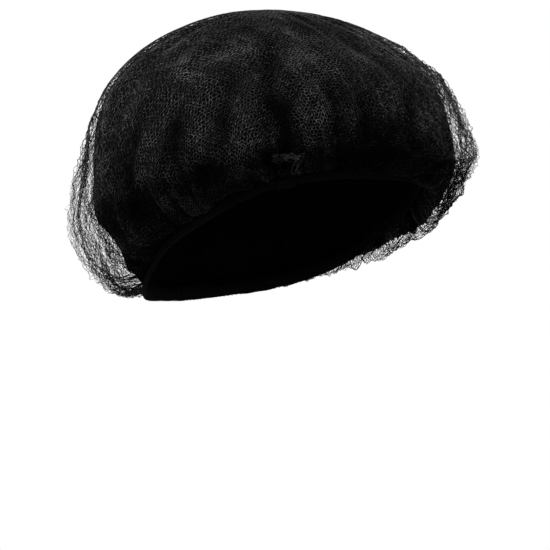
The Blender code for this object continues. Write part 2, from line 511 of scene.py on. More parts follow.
def strand_tree(name: str, radius: float, sides: int,
                material: bpy.types.Material) -> bpy.types.NodeTree:
    """Build the Geometry Nodes tree that spins thread along loose edges.

    Args:
        name: The tree's name.
        radius: The thread's radius, in metres.
        sides: Sides of the thread's section.
        material: The thread's material.

    Returns:
        The tree, with the inputs Thread radius and Thread sides.
    """
    group = bpy.data.node_groups.new(name, "GeometryNodeTree")
    face = group.interface
    face.new_socket("Geometry", in_out="INPUT", socket_type="NodeSocketGeometry")
    face.new_socket("Geometry", in_out="OUTPUT", socket_type="NodeSocketGeometry")
    thick = face.new_socket("Thread radius", in_out="INPUT", socket_type="NodeSocketFloat")
    thick.default_value = radius
    count = face.new_socket("Thread sides", in_out="INPUT", socket_type="NodeSocketInt")
    count.default_value = sides
    tree = Tree(group)
    start = tree.add("NodeGroupInput")
    end = tree.add("NodeGroupOutput")
    curve = tree.add("GeometryNodeMeshToCurve")
    full = tree.add("GeometryNodeInputNamedAttribute", {"Name": "fullness"}, data_type="FLOAT")
    swell = tree.add("GeometryNodeSetCurveRadius")
    circle = tree.add("GeometryNodeCurvePrimitiveCircle")
    spin = tree.add("GeometryNodeCurveToMesh", {"Fill Caps": True})
    smooth = tree.add("GeometryNodeSetShadeSmooth")
    real = tree.add("GeometryNodeRealizeInstances")
    dress = tree.add("GeometryNodeSetMaterial", {"Material": material})
    links = [
        (start, "Geometry", curve, "Mesh"),
        (start, "Thread radius", circle, "Radius"),
        (start, "Thread sides", circle, "Resolution"),
        (curve, "Curve", swell, "Curve"),
        (full, "Attribute", swell, "Radius"),
        (swell, "Curve", spin, "Curve"),
        (circle, "Curve", spin, "Profile Curve"),
        (spin, "Mesh", smooth, "Geometry"),
        (smooth, "Geometry", real, "Geometry"),
        (real, "Geometry", dress, "Geometry"),
        (dress, "Geometry", end, "Geometry"),
    ]
    if "Scale" in spin.inputs:
        links.append((full, "Attribute", spin, "Scale"))
    for source, given, target, taken in links:
        tree.join(source.outputs[given], target.inputs[taken])
    return group


# Meshes


def placed(name: str, data: bpy.types.ID) -> bpy.types.Object:
    """Put some data in the scene, at the origin.

    Args:
        name: The object's name.
        data: A mesh, a lamp or a camera.

    Returns:
        The object.
    """
    obj = bpy.data.objects.new(name, data)
    bpy.context.scene.collection.objects.link(obj)
    return obj


def keep_values(mesh: bpy.types.Mesh, name: str, values: np.ndarray) -> None:
    """Keep a value of every point as a mesh attribute."""
    layer = mesh.attributes.new(name, "FLOAT", "POINT")
    layer.data.foreach_set("value", np.asarray(values, np.float32).ravel())


def spun(name: str, points: np.ndarray, edges: np.ndarray, radius: float, sides: int,
         material: bpy.types.Material, shade: np.ndarray | float = 1.0,
         fullness: np.ndarray | float = 1.0) -> bpy.types.Object:
    """Make thread along edges, as one plain mesh.

    Args:
        name: The piece's name.
        points: The edges' ends, in metres.
        edges: Pairs of indices into the points.
        radius: The thread's radius.
        sides: Sides of the thread's section.
        material: The thread's material.
        shade: Shades of the points.
        fullness: Shares of the radius at the points.

    Returns:
        The finished piece.
    """
    path = bpy.data.meshes.new(f"{name} path")
    path.vertices.add(len(points))
    path.vertices.foreach_set("co", np.asarray(points, np.float32).ravel())
    path.edges.add(len(edges))
    path.edges.foreach_set("vertices", np.asarray(edges, np.int32).ravel())
    path.update()
    keep_values(path, "shade", np.broadcast_to(shade, len(points)))
    keep_values(path, "fullness", np.broadcast_to(fullness, len(points)))
    obj = placed(name, path)
    group = strand_tree(f"{name} thread", radius, sides, material)
    modifier = obj.modifiers.new("thread", "NODES")
    modifier.node_group = group
    wanted = {"Thread radius": radius, "Thread sides": sides}
    for item in group.interface.items_tree:
        if item.item_type == "SOCKET" and item.in_out == "INPUT" and item.name in wanted:
            modifier[item.identifier] = wanted[item.name]
    graph = bpy.context.evaluated_depsgraph_get()
    mesh = bpy.data.meshes.new_from_object(obj.evaluated_get(graph))
    obj.modifiers.remove(modifier)
    obj.data = mesh
    mesh.name = name
    return obj


def grid_mesh(name: str, rows: np.ndarray, material: bpy.types.Material, ring: bool,
              flat: np.ndarray) -> bpy.types.Object:
    """Make a closed mesh from rows of points that close round.

    Args:
        name: The piece's name.
        rows: Points, as rows, places round and x, y, z.
        material: The piece's material.
        ring: Join the last row to the first, and otherwise cap both ends.
        flat: Texture coordinates of the points.

    Returns:
        The finished piece, smooth shaded, with its faces outward.
    """
    count, places = rows.shape[:2]
    here = np.arange(places)
    after = np.roll(here, -1)
    steps = np.arange(count if ring else count - 1)
    nexts = (steps + 1) % count
    quads = np.stack((
        steps[:, None] * places + here,
        nexts[:, None] * places + here,
        nexts[:, None] * places + after,
        steps[:, None] * places + after,
    ), axis=-1).reshape(-1, 4)
    mesh = bpy.data.meshes.new(name)
    mesh.vertices.add(count * places)
    mesh.vertices.foreach_set("co", rows.astype(np.float32).ravel())
    mesh.loops.add(quads.size)
    mesh.loops.foreach_set("vertex_index", quads.astype(np.int32).ravel())
    mesh.polygons.add(len(quads))
    mesh.polygons.foreach_set("loop_start", np.arange(0, quads.size, 4, dtype=np.int32))
    mesh.update(calc_edges=True)
    layer = mesh.uv_layers.new(name="flat cut")
    layer.data.foreach_set("uv", flat.reshape(-1, 2)[quads.ravel()].astype(np.float32).ravel())
    mesh.materials.append(material)
    mesh.polygons.foreach_set("use_smooth", np.ones(len(quads), bool))
    seal(mesh)
    return placed(name, mesh)


def seal(mesh: bpy.types.Mesh) -> None:
    """Close a mesh's open ends and turn its faces outward.

    Args:
        mesh: The mesh, which is changed.
    """
    shape = bmesh.new()
    shape.from_mesh(mesh)
    bmesh.ops.holes_fill(shape, edges=[edge for edge in shape.edges if edge.is_boundary], sides=0)
    bmesh.ops.recalc_face_normals(shape, faces=shape.faces)
    if shape.calc_volume(signed=True) < 0.0:
        bmesh.ops.reverse_faces(shape, faces=shape.faces)
    shape.to_mesh(mesh)
    shape.free()


# Finishes


@dataclass(frozen=True)
class NylonThread:
    """Fine knitted nylon: dark grey thread with a little gloss, painted glints and painted shade.
    """

    name: str = "black nylon thread"
    deep: tuple[float, float, float] = (0.0035, 0.0035, 0.0037)
    tone_and_glint: tuple[float, float, float] = (0.175, 0.175, 0.182)
    gloss: float = 0.28
    roughness: float = 0.45
    fold_share: float = 0.03
    glint_scale: float = 900.0
    patch: float = 46.0
    patch_share: float = 0.35
    start: float = 0.49
    end: float = 0.68

    def material(self) -> bpy.types.Material:
        """Build the material.

        Returns:
            The material.
        """
        tree, made, shader = Tree.of_material(self.name, Roughness=self.roughness)
        place = tree.add("ShaderNodeTexCoord").outputs["Object"]
        fine = tree.add("ShaderNodeTexNoise", {"Scale": self.glint_scale, "Detail": 2.0})
        broad = tree.add("ShaderNodeTexNoise", {"Scale": self.patch})
        for noise in (fine, broad):
            tree.join(place, noise.inputs["Vector"])
        # Fine noise lifts small spots of thread to the brighter colour: painted glints. The broad
        # noise varies the tone at random.
        glints = tree.math("MULTIPLY", fine.outputs["Fac"], 1.0 - self.patch_share)
        share = tree.math("MULTIPLY_ADD", broad.outputs["Fac"], self.patch_share, glints)
        colour = tree.ramp(share, self.deep, self.tone_and_glint, self.start, self.end)
        # Painted shade: the mesh's shade darkens the colour in folds and gathers, and dims the
        # gloss.
        tree.join(tree.dimmed(colour, self.fold_share), shader.inputs["Base Color"])
        tree.join(tree.math("MULTIPLY", tree.shade(), self.gloss),
                  shader.inputs["Specular IOR Level"])
        return made


@dataclass(frozen=True)
class BunchedNet:
    """Dense bunched net: near black, with a tangle of threads over it."""

    name: str = "bunched black net"
    pit: tuple[float, float, float] = (0.0012, 0.0012, 0.0014)
    thread: tuple[float, float, float] = (0.0035, 0.0035, 0.0037)
    roughness: float = 0.9
    gloss: float = 0.05
    fold_share: float = 0.15
    cells: float = 330.0
    finer: float = 1.23
    turned: float = 0.7
    stray: float = 0.55
    thread_share: float = 0.10
    relief: float = 0.35 * MM

    def material(self) -> bpy.types.Material:
        """Build the material.

        Returns:
            The material.
        """
        tree, made, shader = Tree.of_material(self.name, Roughness=self.roughness,
                                              Specular_IOR_Level=self.gloss)
        place = tree.add("ShaderNodeTexCoord").outputs["UV"]
        layers = []
        for turn, scale in ((0.0, self.cells), (self.turned, self.cells * self.finer)):
            mapping = tree.add("ShaderNodeMapping", {"Rotation": (0.0, 0.0, turn)})
            tree.join(place, mapping.inputs["Vector"])
            cell = tree.add("ShaderNodeTexVoronoi", {"Scale": scale, "Randomness": self.stray},
                            feature="DISTANCE_TO_EDGE")
            tree.join(mapping.outputs["Vector"], cell.inputs["Vector"])
            near = tree.math("DIVIDE", cell.outputs["Distance"], self.thread_share)
            layers.append(tree.math("SUBTRACT", 1.0, near, clamp=True))
        threads = tree.math("MAXIMUM", *layers)
        colour = tree.ramp(threads, self.pit, self.thread, 0.25, 0.95)
        # Painted shade: the mesh's shade darkens the net in its folds and gathers.
        tree.join(tree.dimmed(colour, self.fold_share), shader.inputs["Base Color"])
        tree.bump(threads, self.relief, 0.8, shader)
        return made


@dataclass(frozen=True)
class CoveredElastic:
    """Braided cover of the elastic, with fine cross ribs."""

    name: str = "black covered elastic"
    dark: tuple[float, float, float] = (0.0008, 0.0008, 0.0009)
    light: tuple[float, float, float] = (0.0030, 0.0030, 0.0032)
    roughness: float = 0.85
    gloss: float = 0.03
    rib: float = 1.1 * MM
    relief: float = 0.12 * MM

    def material(self) -> bpy.types.Material:
        """Build the material.

        Returns:
            The material.
        """
        tree, made, shader = Tree.of_material(self.name, Roughness=self.roughness,
                                              Specular_IOR_Level=self.gloss)
        place = tree.add("ShaderNodeTexCoord").outputs["UV"]
        wave = tree.add("ShaderNodeTexWave", {"Scale": 0.31 / self.rib, "Distortion": 1.2},
                        wave_type="BANDS", bands_direction="X")
        cross = tree.add("ShaderNodeTexWave", {"Scale": 0.5 / self.rib},
                         wave_type="BANDS", bands_direction="DIAGONAL")
        for texture in (wave, cross):
            tree.join(place, texture.inputs["Vector"])
        height = tree.math("MULTIPLY", wave.outputs["Fac"], cross.outputs["Fac"])
        tree.join(tree.ramp(height, self.dark, self.light), shader.inputs["Base Color"])
        tree.bump(height, self.relief, 1.0, shader)
        return made


# The bag's form


@dataclass(frozen=True)
class Patch:
    """A soft patch of the bag, 1 in its middle and 0 outside.

    Attributes:
        turn: Turn of its middle.
        width: Half width, as a turn.
        top: Fall where it starts.
        rise: How far down it is fully there, from its start.
        foot: Fall where it ends.
        drop: How far up it is fully there, from its end.
    """

    turn: float
    width: float
    top: float = -1.0
    rise: float = 1.0
    foot: float = 2.0
    drop: float = 1.0

    def over(self, turns: np.ndarray, falls: np.ndarray) -> np.ndarray:
        """Return how much of the patch is at turns and falls."""
        aside = (turns - self.turn + 0.5) % 1.0 - 0.5
        return (np.exp(-(aside / self.width) ** 2) * eased((falls - self.top) / self.rise)
                * eased((self.foot - falls) / self.drop))


@dataclass
class Pleats:
    """Small folds that gather the round cut to the elastic.

    Attributes:
        fine_depth: Depth of the fine pleats, in metres.
        broad_depth: Depth of the broad pleats, in metres.
        lump_depth: Depth of the soft lumps of the whole net, in metres.
        fine: Fine pleats round the elastic.
        broad: Broad pleats round the puff.
        start: Fall where the broad pleats start.
        length: Fall from there to their full depth.
    """

    fine_depth: float = 1.15 * MM
    broad_depth: float = 1.5 * MM
    lump_depth: float = 0.7 * MM
    fine: int = 118
    broad: int = 47
    start: float = 0.50
    length: float = 0.24

    def push(self, turn: np.ndarray, fall: np.ndarray, puffed: np.ndarray) -> np.ndarray:
        """Return how far the pleats move the net outward, in metres.

        Args:
            turn: Turns of the places.
            fall: Falls of the rows.
            puffed: How loosely the net stands off, from 0 to 1.

        Returns:
            The lengths, as rows and places.
        """
        start = self.start + 0.11 * drift(turn, fall, 19, 1, SEED)
        end = 1.0 - eased((fall - 0.93) / 0.07)
        sway = 1.1 * drift(turn, fall, 9, 2, SEED + 1)
        broad = np.cos(FULL_TURN * self.broad * turn + sway) * eased((fall - start) / self.length)
        broad *= 0.35 + 0.65 * drift(turn, fall, 24, 3, SEED + 2)
        sway = 1.5 * drift(turn, fall, 21, 2, SEED + 3)
        fine = np.cos(FULL_TURN * self.fine * turn + sway) * eased((fall - start - 0.14) / 0.22)
        fine *= (1.0 - 0.75 * eased((fall - 0.91) / 0.07)) * (1.0 - 0.55 * puffed)
        lumps = drift(turn, fall, 26, 12, SEED + 4) * eased((fall - 0.04) / 0.2)
        return self.fine_depth * fine + (self.broad_depth * broad + self.lump_depth * lumps) * end


@dataclass
class BagForm:
    """The skins that the layers of net lie on, and the shade painted on them.

    Attributes:
        outer: The frame's outer net.
        inner: The frame's inner net.
        lump: Depth of the puffed net's small lumps, in metres.
        facet: Height of its sharp ridges.
        puff: How far it stands out beside its frame node.
        seat: How far the rest of it is drawn in.
        under_lump: Depth of the slack net's lumps.
        bunch: Depth of the inner net's bunches.
        tuck: How far the inner net is tucked in where tucked is.
        lift: How far it stands out where lifted is.
        tucked: Where the inner net is tucked in, at the wearer's right back.
        lifted: Where it stands out, at the left front.
        brow: Where the gathers at the front let no light in, darkened with painted shade.
        crease: Where painted shade darkens the crease up from the elastic's join.
        lit: Turn of the side that faces the photograph.
    """

    outer: Skin
    inner: Skin
    lump: float = 0.9 * MM
    facet: float = 2.2 * MM
    puff: float = 0.6 * MM
    seat: float = 0.7 * MM
    under_lump: float = 1.1 * MM
    bunch: float = 0.75 * MM
    tuck: float = 9.0 * MM
    lift: float = 1.7 * MM
    tucked: Patch = Patch(0.645, 0.065, 0.56, 0.2, 0.99, 0.12)
    lifted: Patch = Patch(0.145, 0.10, 0.06, 0.1, 0.44, 0.12)
    brow: Patch = Patch(0.978, 0.055, 0.47, 0.12)
    crease: Patch = Patch(0.97, 0.08)
    lit: float = 0.89

    def __post_init__(self) -> None:
        """Measure how far the two nets stand apart."""
        self.turns, self.falls = self.outer.turns(), self.outer.falls()
        self.gap = np.linalg.norm(self.outer.points - self.inner.points, axis=2)
        self.puffed = eased((self.gap - 3.0 * MM) / (11.0 * MM))
        self.slack = eased((self.gap - 2.2 * MM) / (6.0 * MM))

    def noise(self, waves: int, reach: int, seed: int) -> np.ndarray:
        """Return a smooth random field over the bag."""
        return drift(self.turns, self.falls, waves, reach, SEED + seed)

    def loose(self) -> np.ndarray:
        """Return the pleats of the loose net, in metres."""
        push = Pleats(fine_depth=0.4 * MM).push(self.turns, self.falls, self.puffed)
        return push * (1.0 - 0.8 * self.puffed)

    def outer_net(self) -> Skin:
        """Move the outer net into its loose folds.

        Returns:
            The loose net's skin.
        """
        lumps = self.noise(120, 84, 5) * self.slack
        ridges = np.clip(1.0 - 1.7 * np.abs(self.noise(22, 13, 21)), -1.0, 1.0) * self.slack
        return self.outer.moved(self.loose() + self.lump * lumps + self.facet * ridges
                                + self.puff * self.puffed - self.seat)

    def slack_net(self) -> Skin:
        """Lay slack net between the two layers.

        Returns:
            The slack net's skin.
        """
        share = np.clip(0.70 + 0.16 * self.noise(12, 5, 6), 0.4, 0.9)
        lumps = self.noise(110, 76, 11) * self.slack
        middle = self.inner.toward(self.outer, share)
        return middle.moved(self.loose() + self.under_lump * lumps + self.puff * self.puffed)

    def inner_net(self) -> Skin:
        """Bunch the inner net, tucked in at the back and lifted at the front.

        Returns:
            The inner net's skin.
        """
        push = Pleats().push(self.turns, self.falls, self.puffed)
        bunches = np.clip(1.0 + self.noise(46, 26, 12), 0.0, 2.0)
        bunches *= eased((0.97 - self.falls) / 0.08)
        push += self.lift * self.lifted.over(self.turns, self.falls)
        push -= self.tuck * self.tucked.over(self.turns, self.falls)
        return self.inner.moved(push - self.bunch * bunches)

    def painted_dusk(self) -> np.ndarray:
        """Return painted shade: shares of the colour kept where crowded gathers let less light
        through.

        Returns:
            Shares, as rows and places.
        """
        # Painted shade towards the elastic, deepest on the side at turn lit.
        facing = 0.5 + 0.5 * np.cos(FULL_TURN * (self.turns - self.lit))
        low = (0.59 + 0.24 * eased(facing * 1.6)) * eased((self.falls - 0.45) / 0.23)
        # Darker towards the crown.
        crown = 0.50 * eased((0.36 - self.falls) / 0.25)
        # Painted shade over the front gathers and along the crease up from the join.
        brow = 0.80 * self.brow.over(self.turns, self.falls)
        crease = 0.42 * self.crease.over(self.turns, self.falls)
        return (1.0 - low) * (1.0 - brow) * (1.0 - crown) * (1.0 - crease)


# Pieces


@dataclass
class KnittedNet:
    """Hexagon knitting on a round cut, laid on a skin.

    Attributes:
        name: First part of the pieces' names.
        skin: The skin that it lies on.
        cell: Width of a knitted cell, in metres.
        thread: Radius of a strand, in metres.
        lean: Turn of the lattice on the cut, in degrees.
        panels: Pieces that the net is split into, side to side.
        stray: How far the cells stray from an even lattice, in metres.
        fullness: Shares of the radius over the skin, as rows and places.
        shade: Shades over the skin, as rows and places.
        seed: Seed of the stray.
        cut_radius: Radius of the flat round cut, in metres.
        sides: Sides of a strand's section.
        least: Least fullness of a strand that is knitted at all.
        waves: Lengths of the waves in which the cells stray, in metres.
    """

    name: str
    skin: Skin
    cell: float
    thread: float
    lean: float
    panels: int
    stray: float
    fullness: np.ndarray
    shade: np.ndarray
    seed: int = SEED
    cut_radius: float = 0.205
    sides: int = 3
    least: float = 0.05
    waves: tuple[float, ...] = (0.009, 0.014, 0.024, 0.045)

    def place(self, flat: np.ndarray) -> tuple[np.ndarray, np.ndarray]:
        """Lay flat points on the skin.

        Args:
            flat: Points of the flat cut, in metres, the front towards -Y.

        Returns:
            Points in space, and their shade and fullness.
        """
        reach = np.hypot(flat[:, 0], flat[:, 1])
        turn = np.mod(np.arctan2(flat[:, 0], -flat[:, 1]) / FULL_TURN, 1.0)
        share = np.clip(reach / self.cut_radius, 0.0, 1.0)
        lengths = self.skin.lengths()
        lengths = lengths / lengths[-1:]
        columns = self.skin.columns
        column = (turn * columns).astype(int) % columns
        fall = np.empty(len(flat))
        rows = np.linspace(0.0, 1.0, self.skin.rows)
        order = np.argsort(column, kind="stable")
        starts = np.searchsorted(column[order], np.arange(columns + 1))
        for index in range(columns):
            chosen = order[starts[index]:starts[index + 1]]
            if len(chosen):
                fall[chosen] = np.interp(share[chosen], lengths[:, index], rows)
        values = sampled(np.stack((self.shade, self.fullness), axis=2), turn, fall)
        return self.skin.at(turn, fall), values

    def strayed(self, flat: np.ndarray) -> np.ndarray:
        """Turn flat points by the lean and move them a little.

        Args:
            flat: Points of the even lattice, in metres.

        Returns:
            The moved points.
        """
        lean = math.radians(self.lean)
        x = flat[:, 0] * math.cos(lean) - flat[:, 1] * math.sin(lean)
        y = flat[:, 0] * math.sin(lean) + flat[:, 1] * math.cos(lean)
        draw = np.random.default_rng(self.seed + 7)
        moved = np.stack((x, y), axis=1)
        for scale in self.waves:
            angle, phase, other = draw.uniform(0.0, FULL_TURN, 3)
            wave = (x * math.cos(angle) + y * math.sin(angle)) * FULL_TURN / scale
            cross = (y * math.cos(angle) - x * math.sin(angle)) * FULL_TURN / (1.3 * scale)
            size = self.stray * (scale / self.waves[0]) ** 0.5
            moved[:, 0] += size * np.sin(wave + phase) * np.cos(cross)
            moved[:, 1] += size * np.cos(wave + other) * np.sin(cross + phase)
        moved += draw.normal(0.0, 0.45 * self.stray, moved.shape)
        return moved

    def lattice(self) -> tuple[np.ndarray, list[tuple[int, int, np.ndarray]]]:
        """Knit the flat cut.

        Returns:
            The flat points, and for each chain its number, first point and places.
        """
        edge = self.cell / math.sqrt(3.0)
        step = 0.5 * self.cell
        chains = int(self.cut_radius / (1.5 * edge))
        points = []
        runs = []
        start = 0
        for number in range(-chains, chains + 1):
            across = 1.5 * edge * number
            half = int(math.sqrt(max(self.cut_radius ** 2 - across ** 2, 0.0)) / step)
            if half < 2:
                continue
            place = np.arange(-half, half + 1)
            sign = 1 - 2 * np.mod(place + number, 2)
            points.append(np.stack((across + 0.25 * edge * sign, place * step), axis=1))
            runs.append((number, start, place))
            start += len(place)
        return np.concatenate(points), runs

    def build(self, material: bpy.types.Material) -> list[bpy.types.Object]:
        """Knit the net and split it into panels.

        Args:
            material: The strands' material.

        Returns:
            The panels, from the wearer's right to the left.
        """
        flat, runs = self.lattice()
        space, values = self.place(self.strayed(flat))
        first = {number: (start, place) for number, start, place in runs}
        limits = np.quantile([number for number, _, place in runs for _ in place[::20]],
                             np.linspace(0.0, 1.0, self.panels + 1))
        limits[-1] += 1.0
        pieces = []
        for index in range(self.panels):
            chosen = []
            edges = []
            count = 0
            for number, start, place in runs:
                if not limits[index] <= number < limits[index + 1]:
                    continue
                size = len(place)
                chosen.append(np.arange(start, start + size))
                edges.append(chain(count, size))
                count += size
                if number + 1 not in first:
                    continue
                next_start, next_place = first[number + 1]
                both = place[(np.mod(place + number, 2) == 0) & np.isin(place, next_place)]
                chosen.append(np.stack((start + both - place[0],
                                        next_start + both - next_place[0]), axis=1).ravel())
                edges.append(np.arange(count, count + 2 * len(both)).reshape(-1, 2))
                count += 2 * len(both)
            order = np.concatenate(chosen)
            pairs = np.concatenate(edges)
            pairs = pairs[(values[order, 1] > self.least)[pairs].all(axis=1)]
            used, pairs = np.unique(pairs, return_inverse=True)
            order = order[used]
            pieces.append(spun(f"{self.name}_{index + 1}", space[order], pairs.reshape(-1, 2),
                               self.thread, self.sides, material, *values[order].T))
        return pieces


@dataclass
class DenseNet:
    """The inner net: a closed wall of bunched net inside the loose one.

    Attributes:
        skin: The skin that its outer face lies on.
        shade: Shades over the skin, as rows and places.
        rows: Rows of each face.
        columns: Places round each row.
        wall: Thickness of the wall, in metres.
        top: Fall of its first row.
    """

    skin: Skin
    shade: np.ndarray
    rows: int = 60
    columns: int = 520
    wall: float = 0.7 * MM
    top: float = 0.004

    def build(self, finish: BunchedNet) -> bpy.types.Object:
        """Build the wall.

        Args:
            finish: Its finish.

        Returns:
            The wall, as one closed piece.
        """
        fall = np.linspace(self.top, 1.0, self.rows)[:, None] * np.ones((1, self.columns))
        turn = np.arange(self.columns)[None, :] / self.columns * np.ones((self.rows, 1))
        out = Skin(self.skin.outward()).at(turn, fall)
        out /= np.linalg.norm(out, axis=2, keepdims=True)
        face = self.skin.at(turn, fall)
        back = face - self.wall * out
        angle = FULL_TURN * turn
        reach = math.sqrt(self.skin.cut_area() / math.pi)
        flat = reach * np.stack((fall * np.sin(angle), -fall * np.cos(angle)), axis=2)
        piece = grid_mesh("inner_net_wall", np.concatenate((face, back[::-1])), finish.material(),
                          False, np.concatenate((flat, flat[::-1])))
        shade = sampled(self.shade[:, :, None], turn, fall)
        keep_values(piece.data, "shade", np.concatenate((shade, shade[::-1])))
        return piece


@dataclass
class ElasticEdge:
    """The elastic ring at the net's edge.

    Attributes:
        middle: Points of the ring's middle line.
        height: Height of the elastic, in metres.
        thick: Thickness of the elastic, in metres.
        steps: Places round the ring.
        profile: Places round its section.
    """

    middle: np.ndarray
    height: float
    thick: float
    steps: int = 760
    profile: int = 16
    cords: int = 4
    cord_relief: float = 0.12 * MM
    ruffles: int = 190
    ruffle_depth: float = 0.10 * MM
    wobble: float = 0.15 * MM

    @classmethod
    def from_node(cls, node: bpy.types.Object) -> "ElasticEdge":
        """Read the ring from its frame node, which has four corners a place.

        Args:
            node: The frame node.

        Returns:
            The ring.
        """
        mesh = merged_mesh(node)
        points = np.array([tuple(vert.co) for vert in mesh.verts])
        mesh.free()
        angle = np.mod(np.arctan2(points[:, 0], -points[:, 1]) + 0.02, FULL_TURN)
        points = points[np.argsort(angle)].reshape(-1, 4, 3)
        flat = points[0, :, :2]
        return cls(points.mean(axis=1), float(np.ptp(points[0, :, 2])),
                   float(np.linalg.norm(flat.max(axis=0) - flat.min(axis=0))))

    def line(self, turn: np.ndarray) -> np.ndarray:
        """Return points of the middle line.

        Args:
            turn: Their turns.

        Returns:
            The points.
        """
        count = len(self.middle)
        place = np.mod(turn, 1.0) * count
        low = place.astype(int) % count
        along = (place - np.floor(place))[..., None]
        return catmull([self.middle[(low + step) % count] for step in (-1, 0, 1, 2)], along)

    def outward(self, turn: np.ndarray) -> np.ndarray:
        """Return the level outward direction.

        Args:
            turn: Turns of the places.

        Returns:
            Directions of length 1.
        """
        ahead = self.line(turn + 0.001) - self.line(turn - 0.001)
        out = np.stack((ahead[..., 1], -ahead[..., 0], np.zeros_like(ahead[..., 0])), axis=-1)
        out /= np.linalg.norm(out, axis=-1, keepdims=True)
        return out * np.sign((out * self.line(turn))[..., :2].sum(axis=-1, keepdims=True))

    def beside(self, turn: np.ndarray, out: np.ndarray | float, rise: np.ndarray) -> np.ndarray:
        """Return points at turns that are some lengths outward and up from the line."""
        return self.line(turn) + (out * self.outward(turn).T).T + np.multiply.outer(rise, UP)

    def length(self) -> float:
        """Return the ring's length, in metres."""
        line = self.line(np.linspace(0.0, 1.0, 2000))
        return float(np.linalg.norm(np.diff(line, axis=0), axis=1).sum())

    def build(self, finish: CoveredElastic) -> bpy.types.Object:
        """Build the ring with its cords and ruffles.

        Args:
            finish: Its finish.

        Returns:
            The ring.
        """
        turn = np.arange(self.steps) / self.steps
        ripple = self.ruffle_depth * np.cos(FULL_TURN * self.ruffles * turn)
        wobble = self.wobble * drift(turn, turn * 0.0, 40, 1, SEED + 9)
        rows = []
        for side, rise in section(self.profile, 0.35, 0.6):
            cord = self.cord_relief * math.cos(math.pi * self.cords * rise)
            depth = 0.5 * self.thick * side + cord * side + ripple * side
            rows.append(self.beside(turn, depth, 0.5 * self.height * rise + wobble))
        around = np.linspace(0.0, self.height * 2.4, self.profile)
        return grid_mesh("elastic_ring", np.array(rows), finish.material(), True,
                         np.stack(np.meshgrid(turn * self.length(), around), axis=2))

    def stitched(self, thread: float, stitches: int,
                 material: bpy.types.Material) -> bpy.types.Object:
        """Sew the net's edge over the elastic with a running loop of thread.

        Args:
            thread: Radius of the thread, in metres.
            stitches: Stitches round the ring.
            material: The thread's material.

        Returns:
            The stitching, as one closed loop.
        """
        points = 10 * stitches
        place = np.arange(points) / points
        phase = FULL_TURN * stitches * place
        side = (0.5 * self.thick + 1.3 * thread + self.ruffle_depth) * np.cos(phase)
        rise = (0.5 * self.height + 1.3 * thread) * np.sin(phase)
        path = self.beside(place + 0.30 / stitches * np.sin(phase), side, rise)
        ring = np.arange(points)
        return spun("edge_stitches", path, np.stack((ring, np.roll(ring, -1)), axis=1), thread, 5,
                    material)


@dataclass
class ElasticJoin:
    """The overlap where the ends of the elastic are sewn together."""

    band: ElasticEdge
    node: bpy.types.Object
    steps: int = 26
    profile: int = 18
    bars: int = 3
    zigzags: int = 15
    thread: float = 0.17 * MM
    half: float = 0.45 * MM

    def __post_init__(self) -> None:
        """Read the turns of the overlap's two ends and the level of its middle."""
        points = np.array([tuple(vert.co) for vert in self.node.data.vertices])
        turns = np.linspace(0.0, 1.0, 4000, endpoint=False)
        line = self.band.line(turns)
        nearest = [turns[np.argmin(((line - point) ** 2)[:, :2].sum(axis=1))] for point in points]
        self.low = min(nearest)
        self.span = max(nearest) - self.low
        self.level = 0.5 * (points[:, 2].min() + points[:, 2].max())

    def build(self, finish: CoveredElastic) -> bpy.types.Object:
        """Build the rounded overlap.

        Args:
            finish: Its finish.

        Returns:
            The overlap.
        """
        share = 0.5 - 0.5 * np.cos(np.linspace(0.0, math.pi, self.steps))
        turn = self.low + self.span * share
        height = self.band.height * 1.1
        drop = self.band.line(turn)[:, 2].mean() - self.level
        ends = np.sqrt(np.clip(1.0 - (2.0 * share - 1.0) ** 8, 0.02, 1.0))
        rows = []
        for side, rise in section(self.profile, 0.5, 0.5):
            depth = 0.5 * self.band.thick + 2.0 * self.half + self.half * side * ends
            level = 0.5 * height * rise * (0.86 + 0.14 * ends) - drop
            rows.append(self.band.beside(turn, depth, level))
        around = np.linspace(0.0, height * 2.0, self.profile)
        return grid_mesh("elastic_overlap", np.array(rows).transpose(1, 0, 2), finish.material(),
                         False, np.stack(np.meshgrid(around, share * 11.0 * MM), axis=2))

    def bar_tacks(self, material: bpy.types.Material) -> bpy.types.Object:
        """Sew the overlap down with zigzag bars of thread.

        Args:
            material: The thread's material.

        Returns:
            The bars, as one piece.
        """
        rise = np.linspace(-0.42, 0.42, self.zigzags) * self.band.height - 0.8 * MM
        swing = np.where(np.arange(self.zigzags) % 2, 0.07, -0.07)
        depth = 0.5 * self.band.thick + 3.0 * self.half + 0.10 * MM
        paths = []
        edges = []
        for bar in range(self.bars):
            turn = self.low + self.span * ((bar + 0.5) / self.bars + swing)
            paths.append(self.band.beside(turn, depth, rise))
            edges.append(chain(bar * self.zigzags, self.zigzags))
        return spun("overlap_bar_tacks", np.concatenate(paths), np.concatenate(edges), self.thread,
                    6, material)


